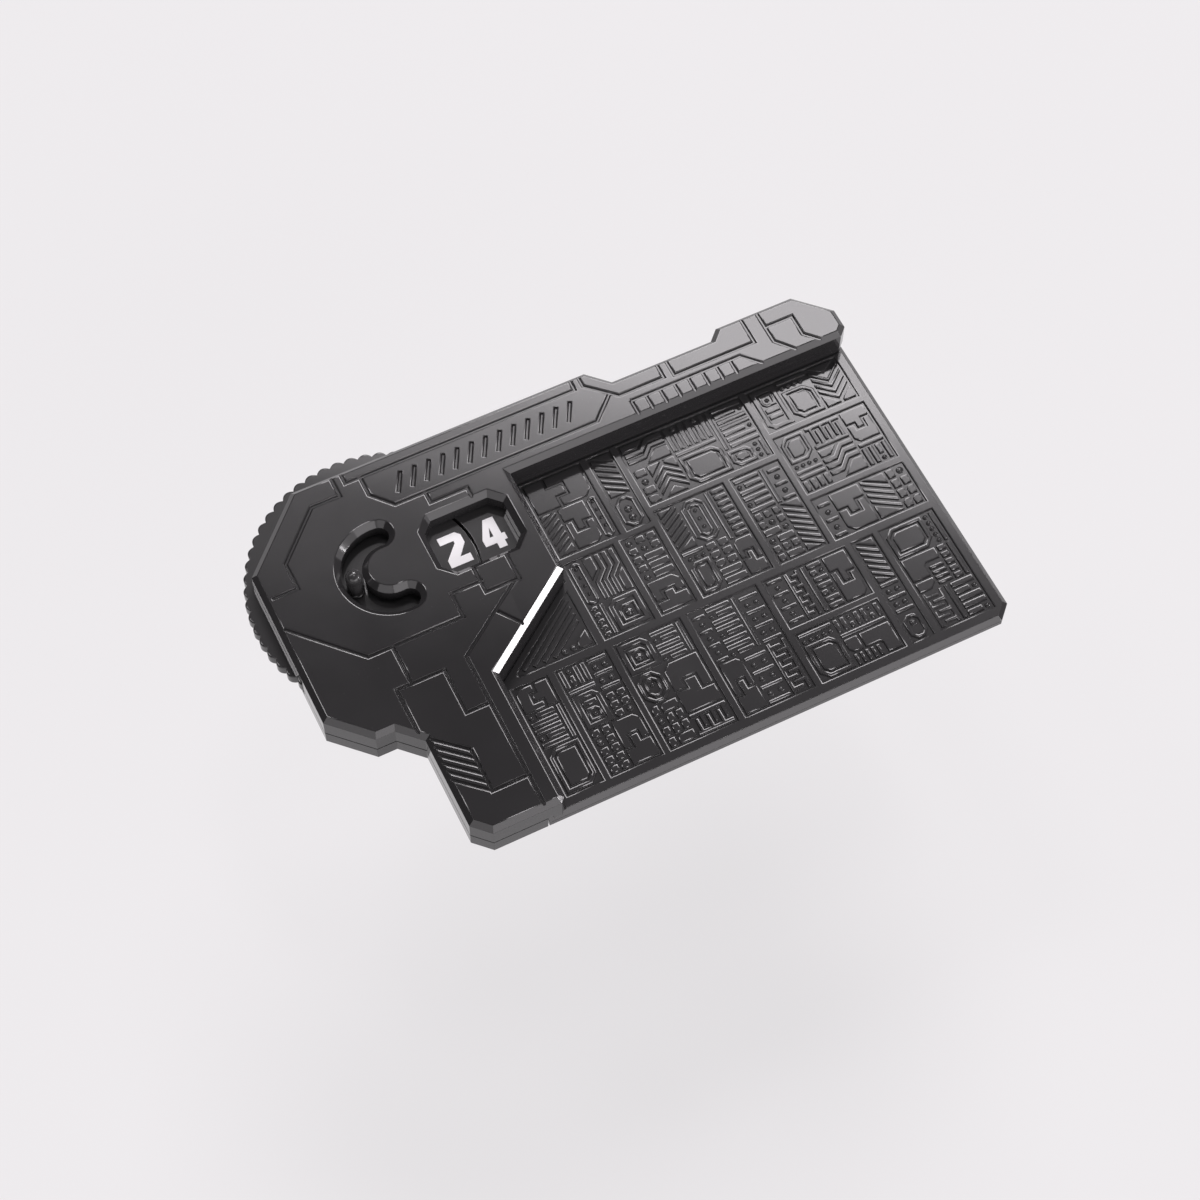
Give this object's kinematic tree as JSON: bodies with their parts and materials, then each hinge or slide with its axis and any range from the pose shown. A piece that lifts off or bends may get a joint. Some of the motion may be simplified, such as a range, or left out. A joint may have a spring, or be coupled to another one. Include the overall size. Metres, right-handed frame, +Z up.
{
  "type": "damage counter pad",
  "caption": "Flat card pad with a rail and a housing that holds a scalloped ones dial and a peg-turned tens dial behind a number window",
  "frame": {"origin": "centre of the bounding box in plan, at the underside of the grip feet", "axes": "+X runs along the rail from the dial to the rail's free end, +Y from the tray's front edge to the rail, +Z up out of the number face"},
  "size_m": [0.1623, 0.1062, 0.0139],
  "materials": {
    "shell_black": "satin",
    "tray_black": "satin",
    "dial_black": "satin",
    "axle_nylon": "natural nylon",
    "washer_nylon": "grey nylon",
    "spring_steel": "plain",
    "screw_steel": "dark zinc",
    "foot_rubber": "matt"
  },
  "bodies": {
    "housing": {"top_shell": "shell_black", "base_shell": "shell_black", "card_tray": "tray_black", "dial_axle": "axle_nylon", "wheel_washer": "washer_nylon", "disc_washer": "washer_nylon", "retaining_clip": "spring_steel", "ones_click_spring": "spring_steel", "tens_click_spring": "spring_steel", "axle_screw": "screw_steel", "housing_screw_1": "screw_steel", "housing_screw_2": "screw_steel", "housing_screw_3": "screw_steel", "tray_screw_1": "screw_steel", "tray_screw_2": "screw_steel", "tray_screw_3": "screw_steel", "grip_foot_1": "foot_rubber", "grip_foot_2": "foot_rubber", "grip_foot_3": "foot_rubber", "grip_foot_4": "foot_rubber", "grip_foot_5": "foot_rubber"},
    "ones_dial": {"ones_wheel": "dial_black"},
    "tens_dial": {"tens_disc": "dial_black", "thumb_peg": "dial_black"}
  },
  "joints": [
    {"name": "ones_turn", "type": "hinge", "parent": "housing", "child": "ones_dial", "pos_m": [-0.04655, 0.0185, 0.0058], "axis": [0, 0, 1], "continuous": true},
    {"name": "tens_turn", "type": "hinge", "parent": "housing", "child": "tens_dial", "pos_m": [-0.04655, 0.0185, 0.0058], "axis": [0, 0, 1], "range_deg": [-96, 96]}
  ]
}
